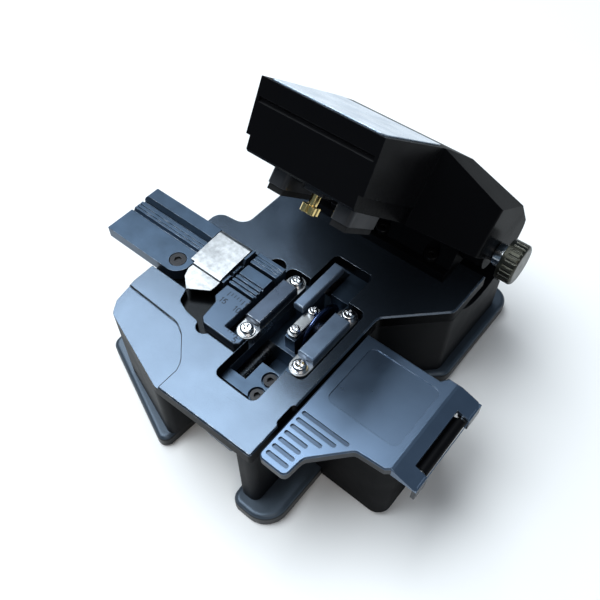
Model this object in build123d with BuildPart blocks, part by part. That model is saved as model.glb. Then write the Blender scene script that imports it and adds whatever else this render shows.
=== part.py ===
"""Precision fibre cleaver with a scrap box, stored with its lid open.

X runs along the fibre (left to right), Y runs from the operator to the rear, Z is up.
Sketch coordinates are measured from the deck plate's front right corner, and heights from the table.
"""
from build123d import *
import os
from math import cos, radians, sin

os.makedirs("parts", exist_ok=True)

# ------------------------------------------------------------ driving dimensions (mm, degrees)
corner_x = 22.2         # deck corner, from the middle of the whole object
corner_y = -50.0
deck_top = 33.0
deck_thick = 4.0
step_drop = 0.7         # the front left wing lies this much below the deck
pocket_depth = 2.5      # guide channel, below the deck
shoe_bottom = 0.6
shoe_top = 4.6
wall = 2.5

fibre_y = 36.0          # the fibre line
pad_top = 34.6
left_pad_x = -24.4
right_pad_x = -6.8
pad_width = 4.8
pad_length = 15.2
clamp_screw_reach = 10.0

blade_x = -12.2
blade_y = 41.2
blade_z = 26.5
blade_radius = 8.0
rail_z = 18.0
rail_radius = 2.0
rail_left_x = -23.0
rail_right_x = -6.0

lid_open = 42.0         # stored opening of the lid, from closed
hinge_y = 82.0
hinge_z = 41.0
pin_radius = 2.5
stud_radius = 1.5
running = 0.06          # radial clearance of a running fit
cheek_x = 14.5          # outer face of the lid's right cheek
lid_left_x = -31.0
lid_right_x = -0.5
lid_bottom = 41.0
lid_skin = 2.0
plate_slope = 5.0       # the lid's top rises to the rear when closed

bin_floor = 2.5
bin_top = 29.8
bin_skin = 1.6
cover_pin_x = 31.7
cover_pin_z = 29.3
cover_pin_radius = 0.8

holder_left_x = -78.0
holder_right_x = -38.4
leaf_pin_y = 44.2
leaf_pin_z = 34.5
leaf_pin_radius = 0.8

deck_bottom = deck_top - deck_thick
pocket_floor = deck_top - pocket_depth
chassis_thick = 4.0
chassis_bottom = deck_bottom - chassis_thick
lid_middle_x = (lid_left_x + lid_right_x) / 2
left_cheek_x = 2 * lid_middle_x - cheek_x


# ------------------------------------------------------------ planes and small helpers
def level(height):
    """Horizontal plane at a height, seen from above."""
    return Plane(origin=(corner_x, corner_y, height), x_dir=(1, 0, 0), z_dir=(0, 0, 1))


def side(x):
    """Upright plane facing right: sketches are drawn in Y and Z."""
    return Plane(origin=(corner_x + x, corner_y, 0), x_dir=(0, 1, 0), z_dir=(1, 0, 0))


def front(y):
    """Upright plane facing the operator: sketches are drawn in X and Z."""
    return Plane(origin=(corner_x, corner_y + y, 0), x_dir=(1, 0, 0), z_dir=(0, -1, 0))


def swung(y, z):
    """Where a point of the closed lid stands when the lid is open."""
    c = cos(radians(lid_open))
    s = sin(radians(lid_open))
    dy = y - hinge_y
    dz = z - hinge_z
    return corner_y + hinge_y + dy * c + dz * s, hinge_z - dy * s + dz * c


def lid_level(height, y=0, slope=0):
    """Plane that is level when the lid is closed, or sloped up to the rear."""
    a = radians(slope - lid_open)
    y0, z0 = swung(y, height)
    return Plane(origin=(corner_x, y0, z0), x_dir=(1, 0, 0), z_dir=(0, -sin(a), cos(a)))


def lid_side(x):
    """Plane facing right in the lid: sketches use the closed lid's Y and Z."""
    a = radians(-lid_open)
    y0, z0 = swung(0, 0)
    return Plane(origin=(corner_x + x, y0, z0), x_dir=(0, cos(a), sin(a)), z_dir=(1, 0, 0))


def lid_front(y):
    """Plane facing the operator when the lid is closed."""
    a = radians(-lid_open)
    y0, z0 = swung(y, 0)
    return Plane(origin=(corner_x, y0, z0), x_dir=(1, 0, 0), z_dir=(0, -cos(a), -sin(a)))


def slab(x0, x1, y0, y1, mode=Mode.ADD):
    """Rectangle between two corners of the sketch."""
    with Locations(((x0 + x1) / 2, (y0 + y1) / 2)):
        Rectangle(x1 - x0, y1 - y0, mode=mode)


def disc(x, y, radius, mode=Mode.ADD):
    with Locations((x, y)):
        Circle(radius, mode=mode)


def shape(points, mode=Mode.ADD):
    Polygon(*points, align=None, mode=mode)


def round_corner(sketch, x, y, radius):
    """Round the sketch's corner nearest to a point."""
    fillet(sketch.vertices().sort_by_distance((x, y))[0], radius)


def save(builder, label):
    builder.part.label = label
    export_step(builder.part, f"parts/{label}.step")


# ------------------------------------------------------------ outlines shared by several pieces
rear_outline = [(0, 50), (14.4, 64.4), (14.4, 97), (-49.5, 97), (-49.5, 53)]
wing_outline = [(-59, 52), (-59, 18.5), (-57.7, 11), (-55.2, 7.4), (-30.5, -0.8)]
shell_points = [(0, 0)] + rear_outline + wing_outline + [(-29, 10), (-8, 10), (-5.5, 0)]

# ------------------------------------------------------------ base shell: a ring of walls with a finger arch
tab_x = -16.0
tab_width = 6.0
tab_bottom = 13.0
tab_top = 18.0
scoop_radius = 17.4
side_screw_y = 91.8
side_screw_z = 23.2

with BuildPart() as base_shell:
    with BuildSketch(level(shoe_top)) as shell_outside:
        shape(shell_points)
        fillet(shell_outside.vertices(), 2.2)
    extrude(amount=deck_bottom - shoe_top)
    with BuildSketch(level(shoe_top)) as shell_inside:
        shape(shell_points)
        offset(amount=-wall, kind=Kind.INTERSECTION, mode=Mode.REPLACE)
    extrude(amount=deck_bottom - shoe_top, mode=Mode.SUBTRACT)
    # scoop that lets the rear of the lid swing down, with its curved floor
    with BuildSketch(side(-48)) as scoop_floor:
        disc(hinge_y, hinge_z, scoop_radius + 1.6)
        slab(60, 110, deck_bottom, 70, mode=Mode.SUBTRACT)
        slab(96, 110, 10, 70, mode=Mode.SUBTRACT)
    extrude(amount=61)
    with BuildSketch(side(-60)) as scoop:
        disc(hinge_y, hinge_z, scoop_radius)
    extrude(amount=90, mode=Mode.SUBTRACT)
    # window for the push tab, in the arch's back wall
    with BuildSketch(front(14)) as tab_window:
        slab(tab_x - 4, tab_x + 4, tab_bottom - 1, tab_top + 1)
    extrude(amount=6, mode=Mode.SUBTRACT)
    # hole for the side screw
    with BuildSketch(side(9)) as side_hole:
        disc(side_screw_y, side_screw_z, 1.0)
    extrude(amount=8, mode=Mode.SUBTRACT)
save(base_shell, "base_shell")

# ------------------------------------------------------------ base shoe: the flange with legs and front foot
foot_places = [(-61, 17), (0.7, 4.0), (10, 96), (-45, 97)]
cover_corners = [(-43.4, 18.6), (-0.6, 18.6), (-43.4, 89.4), (-0.6, 89.4)]
shoe_points = [(7, -3.2), (7, 54.2), (17.4, 64.6), (17.4, 103), (-52, 103), (-52, 57), (-66, 55)]
shoe_points += [(-68.5, 25), (-67.2, 10.2), (-31, -4.2), (-30, 12), (-7.6, 12), (-6.2, -3.2)]

with BuildPart() as base_shoe:
    with BuildSketch(level(shoe_bottom)) as shoe_plan:
        shape(shoe_points)
        round_corner(shoe_plan, 7, -3.2, 7)
        round_corner(shoe_plan, -6.2, -3.2, 3)
        round_corner(shoe_plan, -31, -4.2, 2.6)
        round_corner(shoe_plan, -67.2, 10.2, 3)
        round_corner(shoe_plan, 17.4, 103, 6)
        round_corner(shoe_plan, -52, 103, 5)
        round_corner(shoe_plan, -66, 55, 5)
        round_corner(shoe_plan, 17.4, 64.6, 4)
    extrude(amount=shoe_top - shoe_bottom)
    fillet(base_shoe.faces().sort_by(Axis.Z)[-1].outer_wire().edges(), 1.4)
    with BuildSketch(level(shoe_bottom)) as service_opening:
        slab(-42, -2, 20, 88)
    extrude(amount=shoe_top, mode=Mode.SUBTRACT)
    with BuildSketch(level(shoe_bottom)) as cover_seat:
        slab(-45, 1, 17, 91)
    extrude(amount=2.0, mode=Mode.SUBTRACT)
    with BuildSketch(level(shoe_bottom)) as foot_seats:
        for x, y in foot_places:
            disc(x, y, 4.05)
    extrude(amount=1.0, mode=Mode.SUBTRACT)
    with BuildSketch(level(shoe_bottom)) as cover_screw_holes:
        for x, y in cover_corners:
            disc(x, y, 1.0)
    extrude(amount=3.6, mode=Mode.SUBTRACT)
save(base_shoe, "base_shoe")

with BuildPart() as rubber_feet:
    with BuildSketch(level(0)) as foot_discs:
        for x, y in foot_places:
            disc(x, y, 4.0)
    extrude(amount=shoe_bottom + 1.0)
    fillet(rubber_feet.faces().group_by(Axis.Z)[0].edges(), 0.4)
save(rubber_feet, "rubber_feet")

with BuildPart() as bottom_cover:
    with BuildSketch(level(shoe_bottom + 0.3)) as cover_plan:
        slab(-44.8, 0.8, 17.2, 90.8)
        fillet(cover_plan.vertices(), 1.0)
    extrude(amount=1.7)
    with BuildSketch(level(shoe_bottom)) as cover_holes:
        for x, y in cover_corners:
            disc(x, y, 1.1)
    extrude(amount=3, mode=Mode.SUBTRACT)
    with BuildSketch(level(shoe_bottom)) as head_sinks:
        for x, y in cover_corners:
            disc(x, y, 1.75)
    extrude(amount=1.1, mode=Mode.SUBTRACT)
save(bottom_cover, "bottom_cover")

with BuildPart() as bottom_screws:
    with BuildSketch(level(shoe_bottom + 0.4)) as bottom_heads:
        for x, y in cover_corners:
            disc(x, y, 1.6)
            with Locations((x, y)):
                RegularPolygon(0.8, 6, mode=Mode.SUBTRACT)
    extrude(amount=0.7)
    with BuildSketch(level(shoe_bottom + 0.9)) as bottom_shanks:
        for x, y in cover_corners:
            disc(x, y, 1.0)
    extrude(amount=2.5)
save(bottom_screws, "bottom_screws")

# ------------------------------------------------------------ deck plate
with BuildPart() as deck_plate:
    with BuildSketch(level(deck_bottom)) as deck_plan:
        shape([(0, 0), (0, 50), (14.4, 64.4), (14.4, 80), (-49.5, 80), (-49.5, 53)] + wing_outline)
        round_corner(deck_plan, 0, 0, 0.8)
        round_corner(deck_plan, 0, 50, 3)
        round_corner(deck_plan, 14.4, 64.4, 3)
        round_corner(deck_plan, -49.5, 53, 3.6)
        round_corner(deck_plan, -59, 52, 3.6)
        round_corner(deck_plan, -59, 18.5, 3)
        round_corner(deck_plan, -57.7, 11, 3)
        round_corner(deck_plan, -55.2, 7.4, 2.4)
    extrude(amount=deck_thick)
    chamfer(deck_plate.faces().sort_by(Axis.Z)[-1].outer_wire().edges(), 0.4)
    # the front left wing is one step lower
    with BuildSketch(level(deck_top - step_drop)) as wing_step:
        shape([(-62, 16.6), (-40, 16), (-36.2, 14), (-30.3, 8), (-29.4, 5.6), (-29.4, -3), (-62, -3)])
        round_corner(wing_step, -40, 16, 3)
        round_corner(wing_step, -30.3, 8, 1.5)
    extrude(amount=2, mode=Mode.SUBTRACT)
    # guide channel
    with BuildSketch(level(pocket_floor)) as channel:
        shape([(-62, 25.1), (-45.6, 25.1), (-44.2, 21.4), (-40.3, 20), (-36.4, 19.6), (-33.2, 18.4),
               (-21.9, 18.4), (-21.9, 46.5), (-62, 46.5)])
        round_corner(channel, -44.2, 21.4, 1.5)
        disc(-33.2, 19.5, 2.35)
        disc(-32.0, 46.8, 2.6)
    extrude(amount=4, mode=Mode.SUBTRACT)
    # window over the blade carriage, and the room around the two lower clamps
    with BuildSketch(level(deck_bottom)) as front_window:
        slab(-21.8, -8.4, 10.8, 25)
        fillet(front_window.vertices(), 2)
    extrude(amount=6, mode=Mode.SUBTRACT)
    with BuildSketch(level(deck_bottom)) as rear_window:
        slab(-21.8, -9.0, 24, 60.5)
        fillet(rear_window.vertices(), 1.5)
    extrude(amount=6, mode=Mode.SUBTRACT)
    with BuildSketch(level(deck_bottom)) as left_clamp_room:
        slab(-28.5, -20.8, 23.2, 49.2)
        fillet(left_clamp_room.vertices(), 2)
    extrude(amount=6, mode=Mode.SUBTRACT)
    with BuildSketch(level(deck_bottom)) as right_clamp_room:
        slab(-10.8, -3.2, 22.6, 49.2)
        fillet(right_clamp_room.vertices(), 2)
    extrude(amount=6, mode=Mode.SUBTRACT)
    # finger notch at the edge beside the scrap box
    with BuildSketch(level(deck_bottom)) as edge_notch:
        with Locations((0.2, 13.4)):
            SlotOverall(7, 2.4, rotation=90)
    extrude(amount=6, mode=Mode.SUBTRACT)
save(deck_plate, "deck_plate")

# ------------------------------------------------------------ chassis plate with two rail legs
leg_places = [(12.8, 15.8), (62.8, 65.8)]
floor_screws = [(-11.0, 14.6), (-11.2, 19.9)]

with BuildPart() as chassis_plate:
    with BuildSketch(level(chassis_bottom)) as chassis_plan:
        slab(-46.6, -2.8, 12.8, 65.8)
    extrude(amount=chassis_thick)
    for near, far in leg_places:
        with BuildSketch(level(shoe_top)) as rail_leg:
            slab(-40, -3, near, far)
        extrude(amount=chassis_bottom - shoe_top)
    with BuildSketch(level(chassis_bottom)) as carriage_slot:
        slab(-21.6, -16.2, 16.2, 60.0)
        slab(-16.2, -10.3, 22.6, 51.0)
    extrude(amount=chassis_thick, mode=Mode.SUBTRACT)
    with BuildSketch(front(70)) as rail_holes:
        disc(rail_left_x, rail_z, rail_radius)
        disc(rail_right_x, rail_z, rail_radius)
    extrude(amount=60, mode=Mode.SUBTRACT)
    with BuildSketch(front(18)) as tab_gate:
        slab(tab_x - 4, tab_x + 4, tab_bottom - 1, tab_top + 1)
    extrude(amount=8, mode=Mode.SUBTRACT)
    with BuildSketch(level(deck_bottom - 1.2)) as floor_sinks:
        for x, y in floor_screws:
            disc(x, y, 2.3)
    extrude(amount=2, mode=Mode.SUBTRACT)
    with BuildSketch(level(chassis_bottom)) as chassis_holes:
        for x, y in floor_screws:
            disc(x, y, 1.0)
        for x in (left_pad_x, right_pad_x):
            for y in (fibre_y - clamp_screw_reach, fibre_y + clamp_screw_reach):
                disc(x, y, 1.0)
    extrude(amount=chassis_thick, mode=Mode.SUBTRACT)
save(chassis_plate, "chassis_plate")

with BuildPart() as chassis_screws:
    with BuildSketch(level(deck_bottom - 1.1)) as floor_heads:
        for x, y in floor_screws:
            disc(x, y, 1.8)
            with Locations((x, y)):
                RegularPolygon(0.9, 6, mode=Mode.SUBTRACT)
    extrude(amount=1.0)
    with BuildSketch(level(chassis_bottom)) as floor_shanks:
        for x, y in floor_screws:
            disc(x, y, 1.0)
    extrude(amount=chassis_thick - 1.0)
save(chassis_screws, "chassis_screws")

with BuildPart() as carriage_rails:
    with BuildSketch(front(65.8)) as rail_ends:
        disc(rail_left_x, rail_z, rail_radius)
        disc(rail_right_x, rail_z, rail_radius)
    extrude(amount=65.8 - 12.8)
save(carriage_rails, "carriage_rails")

# ------------------------------------------------------------ fibre guide: scale plate and two blocks
with BuildPart() as guide_plate:
    with BuildSketch(level(pocket_floor)) as guide_plan:
        shape([(-37.9, 33.2), (-37.9, 28.3), (-36.4, 27), (-35.6, 21.2), (-34.2, 20), (-23.6, 20),
               (-22.4, 21.2), (-22.4, 22.8), (-28.9, 22.8), (-28.9, 33.2)])
        round_corner(guide_plan, -36.4, 27, 0.6)
        round_corner(guide_plan, -35.6, 21.2, 0.8)
        round_corner(guide_plan, -34.2, 20, 0.8)
    extrude(amount=deck_top + 0.5 - pocket_floor)
    chamfer(guide_plate.faces().sort_by(Axis.Z)[-1].edges(), 0.25)
save(guide_plate, "guide_plate")

with BuildPart() as v_groove_block:
    with BuildSketch(side(-37.6)) as groove_profile:
        slab(33.6, 41.4, pocket_floor, pad_top - 0.4)
        shape([(fibre_y - 0.5, pad_top), (fibre_y, pad_top - 1.0), (fibre_y + 0.5, pad_top)],
              mode=Mode.SUBTRACT)
        slab(34.3, 34.9, pad_top - 1.2, pad_top, mode=Mode.SUBTRACT)
        slab(37.1, 37.7, pad_top - 1.2, pad_top, mode=Mode.SUBTRACT)
    extrude(amount=8.7)
save(v_groove_block, "v_groove_block")

with BuildPart() as guide_rear_block:
    with BuildSketch(side(-37.4)) as rear_block_profile:
        slab(42.0, 46.1, pocket_floor, deck_top + 2.0)
        for i in range(3):
            slab(42.8 + i * 0.9, 43.2 + i * 0.9, deck_top + 1.7, deck_top + 3, mode=Mode.SUBTRACT)
    extrude(amount=9.2)
save(guide_rear_block, "guide_rear_block")

# ------------------------------------------------------------ lower clamps: bracket, pad, washers, screws
bracket_top = deck_bottom + 3.0
clamp_screw_places = []
for middle in (left_pad_x, right_pad_x):
    clamp_screw_places.append((middle, fibre_y - clamp_screw_reach))
    clamp_screw_places.append((middle, fibre_y + clamp_screw_reach))

for label, middle in (("left", left_pad_x), ("right", right_pad_x)):
    with BuildPart() as clamp_bracket:
        with BuildSketch(level(deck_bottom)) as bracket_plan:
            with Locations((middle, fibre_y)):
                SlotOverall(2 * clamp_screw_reach + 5.2, 5.6, rotation=90)
        extrude(amount=bracket_top - deck_bottom)
        with BuildSketch(level(deck_bottom)) as bracket_holes:
            disc(middle, fibre_y - clamp_screw_reach, 1.1)
            disc(middle, fibre_y + clamp_screw_reach, 1.1)
        extrude(amount=4, mode=Mode.SUBTRACT)
    save(clamp_bracket, f"{label}_clamp_bracket")

    with BuildPart() as lower_pad:
        with BuildSketch(level(bracket_top)) as pad_plan:
            with Locations((middle, fibre_y)):
                Rectangle(pad_width, pad_length)
        extrude(amount=pad_top - bracket_top)
        chamfer(lower_pad.faces().sort_by(Axis.Z)[-1].edges(), 0.3)
    save(lower_pad, f"{label}_lower_pad")

washer_thick = 0.4
head_height = 1.3
with BuildPart() as clamp_washers:
    with BuildSketch(level(bracket_top)) as washer_rings:
        for x, y in clamp_screw_places:
            disc(x, y, 2.25)
            disc(x, y, 1.1, mode=Mode.SUBTRACT)
    extrude(amount=washer_thick)
save(clamp_washers, "clamp_washers")

with BuildPart() as clamp_screws:
    with BuildSketch(level(bracket_top + washer_thick)) as pan_heads:
        for x, y in clamp_screw_places:
            disc(x, y, 1.85)
    extrude(amount=head_height)
    fillet(clamp_screws.faces().group_by(Axis.Z)[-1].edges(), 0.7)
    with BuildSketch(level(bracket_top + washer_thick + head_height - 0.6)) as cross_slots:
        for x, y in clamp_screw_places:
            slab(x - 1.1, x + 1.1, y - 0.25, y + 0.25)
            slab(x - 0.25, x + 0.25, y - 1.1, y + 1.1)
    extrude(amount=1, mode=Mode.SUBTRACT)
    with BuildSketch(level(chassis_bottom)) as clamp_shanks:
        for x, y in clamp_screw_places:
            disc(x, y, 1.0)
    extrude(amount=bracket_top + washer_thick - chassis_bottom)
save(clamp_screws, "clamp_screws")

# ------------------------------------------------------------ hinge block, pin, washer, knob, screws
block_screws = [(-32, 74), (-16, 74), (0, 74)]
with BuildPart() as hinge_block:
    with BuildSketch(side(-38)) as block_profile:
        shape([(70.6, deck_top), (87.4, deck_top), (87.4, 38), (76.2, 41), (73, 36), (70.6, 36)])
        disc(hinge_y, hinge_z, 6)
        disc(hinge_y, hinge_z, pin_radius, mode=Mode.SUBTRACT)
    extrude(amount=44.4)
    with BuildSketch(level(deck_top)) as block_holes:
        for x, y in block_screws:
            disc(x, y, 1.1)
    extrude(amount=6, mode=Mode.SUBTRACT)
    with BuildSketch(level(35.6)) as block_sinks:
        for x, y in block_screws:
            disc(x, y, 2.2)
    extrude(amount=6, mode=Mode.SUBTRACT)
save(hinge_block, "hinge_block")

with BuildPart() as hinge_block_screws:
    with BuildSketch(level(35.6)) as block_heads:
        for x, y in block_screws:
            disc(x, y, 1.9)
            with Locations((x, y)):
                RegularPolygon(0.9, 6, mode=Mode.SUBTRACT)
    extrude(amount=1.6)
    with BuildSketch(level(deck_top)) as block_shanks:
        for x, y in block_screws:
            disc(x, y, 1.0)
    extrude(amount=2.8)
save(hinge_block_screws, "hinge_block_screws")

washer_start = cheek_x + 0.3
knob_start = 17.3
knob_length = 4.6
with BuildPart() as hinge_pin:
    with BuildSketch(side(left_cheek_x + 0.5)) as pin_body:
        disc(hinge_y, hinge_z, pin_radius)
    extrude(amount=washer_start - left_cheek_x - 0.5)
    with BuildSketch(side(washer_start)) as pin_stud:
        disc(hinge_y, hinge_z, stud_radius)
    extrude(amount=knob_start + knob_length - 1.2 - washer_start)
save(hinge_pin, "hinge_pin")

with BuildPart() as friction_washer:
    with BuildSketch(side(washer_start)) as washer_face:
        disc(hinge_y, hinge_z, 3.3)
        disc(hinge_y, hinge_z, stud_radius, mode=Mode.SUBTRACT)
    extrude(amount=knob_start - washer_start - 0.1)
    chamfer(friction_washer.faces().sort_by(Axis.X)[-1].outer_wire().edges(), 0.4)
save(friction_washer, "friction_washer")

knob_radius = 5.75
grip_count = 24
with BuildPart() as hinge_knob:
    with BuildSketch(side(knob_start)) as knob_face:
        disc(hinge_y, hinge_z, knob_radius)
    extrude(amount=knob_length)
    fillet(hinge_knob.faces().sort_by(Axis.X)[-1].outer_wire().edges(), 0.9)
    with BuildSketch(side(knob_start + 1.0)) as grip_grooves:
        with Locations((hinge_y, hinge_z)):
            with PolarLocations(knob_radius + 0.12, grip_count):
                Circle(0.34)
    extrude(amount=knob_length, mode=Mode.SUBTRACT)
    with BuildSketch(side(knob_start)) as knob_bore:
        disc(hinge_y, hinge_z, stud_radius + running)
    extrude(amount=knob_length - 1.0, mode=Mode.SUBTRACT)
save(hinge_knob, "hinge_knob")

with BuildPart() as side_screw:
    with BuildSketch(side(14.4)) as side_head:
        disc(side_screw_y, side_screw_z, 2.0)
    extrude(amount=1.3)
    fillet(side_screw.faces().sort_by(Axis.X)[-1].edges(), 0.6)
    with BuildSketch(side(15.1)) as side_cross:
        slab(side_screw_y - 1.1, side_screw_y + 1.1, side_screw_z - 0.25, side_screw_z + 0.25)
        slab(side_screw_y - 0.25, side_screw_y + 0.25, side_screw_z - 1.1, side_screw_z + 1.1)
    extrude(amount=1, mode=Mode.SUBTRACT)
    with BuildSketch(side(10)) as side_shank:
        disc(side_screw_y, side_screw_z, 1.0)
    extrude(amount=4.4)
save(side_screw, "side_screw")

# ------------------------------------------------------------ T-shaped rail that carries the scrap box
with BuildPart() as bin_rail:
    with BuildSketch(front(45)) as rail_profile:
        slab(0, 3.6, 11.8, 14.2)
        slab(3.6, 5.6, 9.0, 17.0)
    extrude(amount=26)
save(bin_rail, "bin_rail")

# ------------------------------------------------------------ blade carriage
with BuildPart() as carriage_block:
    with BuildSketch(level(12.4)) as block_plan:
        slab(-27.2, -2.8, 31, 53)
    extrude(amount=24.4 - 12.4)
    with BuildSketch(level(24.4)) as post_plan:
        slab(-20.4, -16.9, 41, 49)
    extrude(amount=31 - 24.4)
    with BuildSketch(level(24.4)) as bracket_foot:
        slab(-16.9, -13.6, 32.2, 44)
    extrude(amount=29.6 - 24.4)
    # well for the lower half of the blade
    with BuildSketch(level(16)) as blade_well:
        slab(blade_x - 1.4, blade_x + 1.6, 32, 50.4)
    extrude(amount=20, mode=Mode.SUBTRACT)
    with BuildSketch(front(60)) as rail_bores:
        disc(rail_left_x, rail_z, rail_radius + running)
        disc(rail_right_x, rail_z, rail_radius + running)
    extrude(amount=40, mode=Mode.SUBTRACT)
save(carriage_block, "carriage_block")

with BuildPart() as carriage_bar:
    with BuildSketch(level(31)) as bar_plan:
        slab(-20.2, -17.1, 39.9, 57.8)
    extrude(amount=2.4)
    chamfer(carriage_bar.faces().sort_by(Axis.Z)[-1].edges(), 0.3)
save(carriage_bar, "carriage_bar")

with BuildPart() as push_tab:
    with BuildSketch(level(tab_bottom)) as tab_plan:
        slab(tab_x - tab_width / 2, tab_x + tab_width / 2, 8, 31)
        slab(tab_x - 5, tab_x + 5, 4, 8)
        round_corner(tab_plan, tab_x - 5, 4, 1.5)
        round_corner(tab_plan, tab_x + 5, 4, 1.5)
    extrude(amount=tab_top - tab_bottom)
save(push_tab, "push_tab")

bracket_screws_at = [(-15.2, 34.2), (-15.2, 41.8)]
with BuildPart() as blade_bracket:
    with BuildSketch(level(29.6)) as blade_bracket_plan:
        shape([(-16.8, 32.4), (-13.7, 32.4), (-13.7, 43.8), (-16.8, 43.8)])
        fillet(blade_bracket_plan.vertices(), 1.2)
    extrude(amount=1.4)
    with BuildSketch(level(29)) as blade_bracket_holes:
        for x, y in bracket_screws_at:
            disc(x, y, 0.9)
    extrude(amount=4, mode=Mode.SUBTRACT)
save(blade_bracket, "blade_bracket")

with BuildPart() as bracket_screws:
    with BuildSketch(level(31)) as bracket_heads:
        for x, y in bracket_screws_at:
            disc(x, y, 1.45)
    extrude(amount=1.2)
    fillet(bracket_screws.faces().group_by(Axis.Z)[-1].edges(), 0.5)
    with BuildSketch(level(31.7)) as bracket_cross:
        for x, y in bracket_screws_at:
            slab(x - 0.9, x + 0.9, y - 0.2, y + 0.2)
            slab(x - 0.2, x + 0.2, y - 0.9, y + 0.9)
    extrude(amount=1, mode=Mode.SUBTRACT)
    with BuildSketch(level(29.6)) as bracket_shanks:
        for x, y in bracket_screws_at:
            disc(x, y, 0.9)
    extrude(amount=1.4)
save(bracket_screws, "bracket_screws")

# ------------------------------------------------------------ blade disc on its arbor
blade_thick = 1.0
arbor_radius = 1.5
with BuildPart() as blade_arbor:
    with BuildSketch(side(blade_x - 1.4)) as arbor_end:
        disc(blade_y, blade_z, arbor_radius)
    extrude(amount=3.0)
save(blade_arbor, "blade_arbor")

with BuildPart() as blade_disc:
    with BuildSketch(side(blade_x - blade_thick / 2)) as blade_face:
        disc(blade_y, blade_z, blade_radius)
    extrude(amount=blade_thick)
    chamfer(blade_disc.edges().filter_by(GeomType.CIRCLE), 0.4)
    with BuildSketch(side(blade_x - 2)) as blade_bore:
        disc(blade_y, blade_z, arbor_radius + running)
    extrude(amount=4, mode=Mode.SUBTRACT)
save(blade_disc, "blade_disc")

with BuildPart() as blade_hub:
    with BuildSketch(side(blade_x + blade_thick / 2)) as hub_face:
        disc(blade_y, blade_z, 3.2)
        disc(blade_y, blade_z, arbor_radius + running, mode=Mode.SUBTRACT)
        with Locations((blade_y, blade_z)):
            with PolarLocations(2.4, 2):
                Circle(0.35, mode=Mode.SUBTRACT)
    extrude(amount=0.8)
save(blade_hub, "blade_hub")

# ------------------------------------------------------------ fibre holder with its steel leaf
leaf_left_x = -50.8
leaf_right_x = -39.3
leaf_thick = 0.45
curl_radius = 1.45
plateau_z = deck_top + 1.4
rail_top = deck_top + 2.7
holder_front_y = 26.3
holder_rear_y = 45.4
holder_screw_x = -53.9
holder_screw_y = 30.5
narrow_front_y = 32.4

with BuildPart() as fiber_holder:
    with BuildSketch(level(pocket_floor + 0.3)) as holder_plan:
        slab(holder_left_x, holder_screw_x, holder_front_y, holder_rear_y)
        disc(holder_screw_x, holder_screw_y, holder_screw_y - holder_front_y)
        slab(holder_screw_x, -49.7, holder_screw_y, holder_rear_y)
        slab(-50, holder_right_x, narrow_front_y, holder_rear_y)
    extrude(amount=rail_top - pocket_floor - 0.3)
    # lower plateau in front of the rear rail, with the fibre groove and two fine lines behind it
    with BuildSketch(side(-90)) as plateau_cut:
        shape([(20, plateau_z), (40.5, plateau_z), (41.4, rail_top - 0.25), (41.8, 45), (20, 45)])
        slab(39.7, 40.5, plateau_z - 0.7, plateau_z)
        shape([(fibre_y - 0.6, plateau_z), (fibre_y, plateau_z - 0.9), (fibre_y + 0.6, plateau_z)])
        slab(37.2, 37.45, plateau_z - 0.25, plateau_z)
        slab(38.4, 38.65, plateau_z - 0.25, plateau_z)
    extrude(amount=60, mode=Mode.SUBTRACT)
    # room for the leaf and its curled edge
    with BuildSketch(side(leaf_left_x - 0.3)) as curl_room:
        slab(leaf_pin_y - 1.9, 48, leaf_pin_z - 1.7, 48)
        slab(39, 48, plateau_z, 48)
    extrude(amount=leaf_right_x - leaf_left_x + 0.5, mode=Mode.SUBTRACT)
    with BuildSketch(side(-60)) as leaf_pin_hole:
        disc(leaf_pin_y, leaf_pin_z, leaf_pin_radius)
    extrude(amount=30, mode=Mode.SUBTRACT)
    with BuildSketch(level(plateau_z - 1.2)) as screw_sink:
        disc(holder_screw_x, holder_screw_y, 2.5)
    extrude(amount=2, mode=Mode.SUBTRACT)
    with BuildSketch(level(pocket_floor)) as screw_pass:
        disc(holder_screw_x, holder_screw_y, 1.1)
    extrude(amount=4, mode=Mode.SUBTRACT)
    # bevelled left end
    with BuildSketch(front(50)) as end_bevel:
        shape([(holder_left_x - 1, 34.0), (holder_left_x + 2.4, 37.4), (holder_left_x - 1, 37.4)])
    extrude(amount=30, mode=Mode.SUBTRACT)
save(fiber_holder, "fiber_holder")

with BuildPart() as holder_screw:
    with BuildSketch(level(plateau_z - 1.2)) as holder_screw_head:
        disc(holder_screw_x, holder_screw_y, 2.3)
        with Locations((holder_screw_x, holder_screw_y)):
            RegularPolygon(1.1, 6, mode=Mode.SUBTRACT)
    extrude(amount=1.1)
    with BuildSketch(level(pocket_floor + 0.5)) as holder_screw_shank:
        disc(holder_screw_x, holder_screw_y, 1.0)
    extrude(amount=plateau_z - 1.2 - pocket_floor)
save(holder_screw, "holder_screw")

with BuildPart() as leaf_pin:
    with BuildSketch(side(leaf_left_x - 2.3)) as leaf_pin_end:
        disc(leaf_pin_y, leaf_pin_z, leaf_pin_radius)
    extrude(amount=holder_right_x - leaf_left_x + 2.3)
save(leaf_pin, "leaf_pin")

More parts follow.
